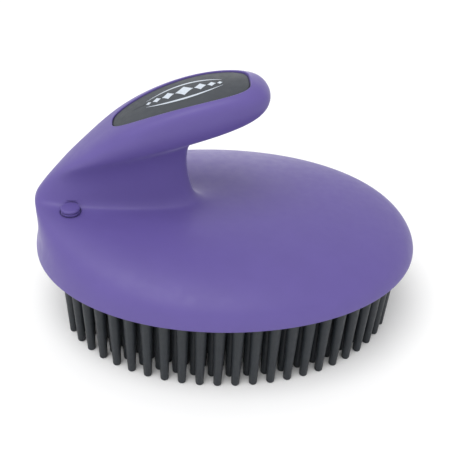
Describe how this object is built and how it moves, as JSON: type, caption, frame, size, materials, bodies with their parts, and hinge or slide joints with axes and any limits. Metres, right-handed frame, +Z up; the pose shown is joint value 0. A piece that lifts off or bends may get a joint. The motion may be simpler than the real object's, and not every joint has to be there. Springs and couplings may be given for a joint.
{
  "type": "curry comb",
  "caption": "Hand-held curry comb: domed oval plastic head with a cantilevered grip, soft inlay and a rubber pad of flexible pins.",
  "frame": {"origin": "on the ground under the middle of the oval head, at the height of the pin tips", "axes": "+X from the root of the handle to the free tip of the grip, +Y to the far side of the head, +Z up"},
  "size_m": [0.14, 0.109, 0.0915],
  "materials": {
    "soft_touch_purple": "soft-touch satin moulded plastic",
    "soft_touch_grey": "fine-grained soft-touch elastomer",
    "slate_rubber": "satin moulded rubber",
    "black_plastic": "matt moulded plastic",
    "zinc_plated_steel": "bright zinc plating"
  },
  "bodies": {
    "root": {"head_shell": "soft_touch_purple", "near_screw_cap": "soft_touch_purple", "far_screw_cap": "soft_touch_purple", "grip_inlay": "soft_touch_grey", "inlay_carrier": "black_plastic", "base_plate": "black_plastic", "pin_pad": "slate_rubber", "near_cap_screw": "zinc_plated_steel", "far_cap_screw": "zinc_plated_steel", "front_base_screw": "zinc_plated_steel", "near_base_screw": "zinc_plated_steel", "far_base_screw": "zinc_plated_steel"}
  },
  "joints": []
}
